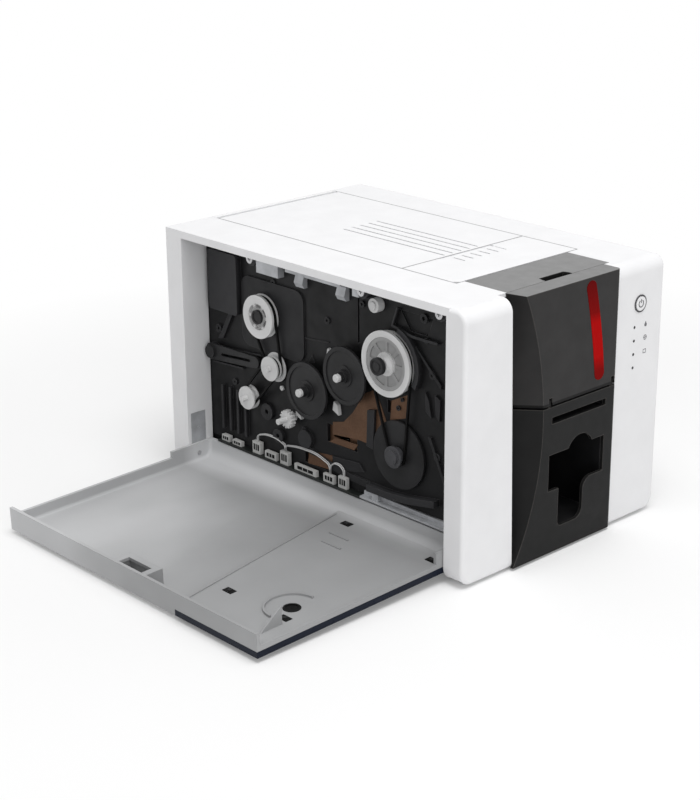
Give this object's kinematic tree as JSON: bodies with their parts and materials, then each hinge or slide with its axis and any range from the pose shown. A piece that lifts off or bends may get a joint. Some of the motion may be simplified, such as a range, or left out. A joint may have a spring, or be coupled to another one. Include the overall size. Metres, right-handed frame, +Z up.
{
  "type": "id card printer",
  "caption": "Desktop card printer with a white housing, a black front with a red level window, a side door open on its drive, a top lid and a feeder cover.",
  "frame": {"origin": "middle of the flat underside of the base, between the four feet, which reach 2 mm lower", "axes": "+Z up, -Y towards the front with the card slot, -X towards the side door"},
  "size_m": [0.3692, 0.3128, 0.195],
  "materials": {
    "white_shell": "satin white moulded housing",
    "door_inner": "light grey matt inner moulding",
    "dark_trim": "near black navy trim",
    "front_black": "dark charcoal satin plastic",
    "panel_black": "glossy black top panel",
    "window_red": "translucent red window",
    "frame_black": "black glass filled frame plastic",
    "wheel_white": "off white pulley plastic",
    "wheel_grey": "mid grey pulley plastic",
    "wheel_black": "black gear plastic",
    "belt_rubber": "black drive belt rubber",
    "steel": "bright steel pins and screws",
    "sheet_steel": "pale plated sheet",
    "copper": "brown coppery plate",
    "board_green": "dark circuit board",
    "connector_white": "pale connector housings",
    "lead_white": "thin white insulated leads",
    "roller_rubber": "dark roller rubber",
    "foot_rubber": "black rubber feet",
    "ring_grey": "dark grey ring",
    "lamp_dark": "small dark lamp lenses"
  },
  "bodies": {
    "frame": {"left_cover": "white_shell", "right_cover": "white_shell", "rear_panel": "white_shell", "rear_sockets": "frame_black", "base_tray": "white_shell", "feet": "foot_rubber", "lower_front_cover": "front_black", "output_box": "frame_black", "card_guide": "frame_black", "feeder_box": "frame_black", "front_frame": "front_black", "black_top_panel": "panel_black", "top_front_piece": "white_shell", "hinge_pins": "steel", "hinge_plate": "sheet_steel", "left_chassis_plate": "frame_black", "copper_plate": "copper", "right_chassis_plate": "frame_black", "cross_bars": "frame_black", "circuit_board": "board_green", "connectors": "connector_white", "leads": "lead_white", "sill_bracket": "sheet_steel", "top_brackets": "sheet_steel", "frame_screws": "steel", "drive_motor": "steel", "supply_belt": "belt_rubber", "lower_belt": "belt_rubber", "feed_belt": "belt_rubber", "disc_belt": "belt_rubber", "tensioner_arm": "wheel_black", "guide_cams": "wheel_white", "button_ring": "ring_grey", "status_lamps": "lamp_dark", "control_board": "board_green"},
    "side_door": {"side_door": "door_inner", "side_door_trim": "dark_trim"},
    "top_lid": {"top_lid": "white_shell", "lid_pin": "steel", "print_head": "frame_black"},
    "feeder_door": {"feeder_door": "front_black", "feeder_door_pins": "steel", "level_window": "window_red"},
    "power_button": {"power_button": "white_shell"},
    "supply_drive": {"supply_pulley": "wheel_white", "supply_hub": "wheel_black", "supply_spindle": "wheel_black"},
    "double_pulley": {"double_pulley": "wheel_white"},
    "lower_pulley": {"lower_pulley": "wheel_white"},
    "motor_gear": {"motor_gear": "wheel_white"},
    "first_disc": {"first_disc": "wheel_black", "first_shaft": "wheel_white", "platen_roller": "roller_rubber"},
    "second_disc": {"second_disc": "wheel_black", "second_shaft": "wheel_white", "take_up_spindle": "wheel_black"},
    "feed_wheel": {"feed_pulley": "wheel_grey", "feed_hub": "wheel_black"},
    "clutch_wheel": {"clutch_pulley": "ring_grey", "clutch_disc": "wheel_black"}
  },
  "joints": [
    {"name": "side_door_hinge", "type": "hinge", "parent": "frame", "child": "side_door", "pos_m": [-0.0945, 0, 0.014], "axis": [0, 1, 0], "range_deg": [0, 91.5]},
    {"name": "top_lid_hinge", "type": "hinge", "parent": "frame", "child": "top_lid", "pos_m": [0.005, 0.1465, 0.1895], "axis": [-1, 0, 0], "range_deg": [0, 80]},
    {"name": "feeder_door_hinge", "type": "hinge", "parent": "frame", "child": "feeder_door", "pos_m": [0.01, -0.1545, 0.11361], "axis": [1, 0, 0], "range_deg": [0, 75]},
    {"name": "power_button_press", "type": "slide", "parent": "frame", "child": "power_button", "axis": [0, 1, 0], "range_m": [0, 0.001], "stiffness_N_per_m": 400},
    {"name": "supply_drive_turn", "type": "hinge", "parent": "frame", "child": "supply_drive", "pos_m": [-0.082, 0.0695, 0.1374], "axis": [1, 0, 0], "continuous": true},
    {"name": "double_pulley_turn", "type": "hinge", "parent": "frame", "child": "double_pulley", "pos_m": [-0.082, 0.0566, 0.1004], "axis": [1, 0, 0], "continuous": true},
    {"name": "lower_pulley_turn", "type": "hinge", "parent": "frame", "child": "lower_pulley", "pos_m": [-0.082, 0.0839, 0.0707], "axis": [1, 0, 0], "continuous": true},
    {"name": "motor_gear_turn", "type": "hinge", "parent": "frame", "child": "motor_gear", "pos_m": [-0.082, 0.0397, 0.065], "axis": [1, 0, 0], "continuous": true},
    {"name": "first_disc_turn", "type": "hinge", "parent": "frame", "child": "first_disc", "pos_m": [-0.082, 0.0172, 0.09301], "axis": [1, 0, 0], "continuous": true},
    {"name": "second_disc_turn", "type": "hinge", "parent": "frame", "child": "second_disc", "pos_m": [-0.082, -0.023, 0.11431], "axis": [1, 0, 0], "continuous": true},
    {"name": "feed_wheel_turn", "type": "hinge", "parent": "frame", "child": "feed_wheel", "pos_m": [-0.082, -0.0645, 0.13321], "axis": [1, 0, 0], "continuous": true},
    {"name": "clutch_wheel_turn", "type": "hinge", "parent": "frame", "child": "clutch_wheel", "pos_m": [-0.082, -0.0722, 0.0669], "axis": [1, 0, 0], "continuous": true}
  ],
  "couplings": [
    {"joint": "double_pulley_turn", "follows": "supply_drive_turn", "ratio": 2.0769},
    {"joint": "lower_pulley_turn", "follows": "supply_drive_turn", "ratio": 2.25},
    {"joint": "clutch_wheel_turn", "follows": "feed_wheel_turn", "ratio": 3.2258},
    {"joint": "second_disc_turn", "follows": "first_disc_turn", "ratio": 1}
  ]
}
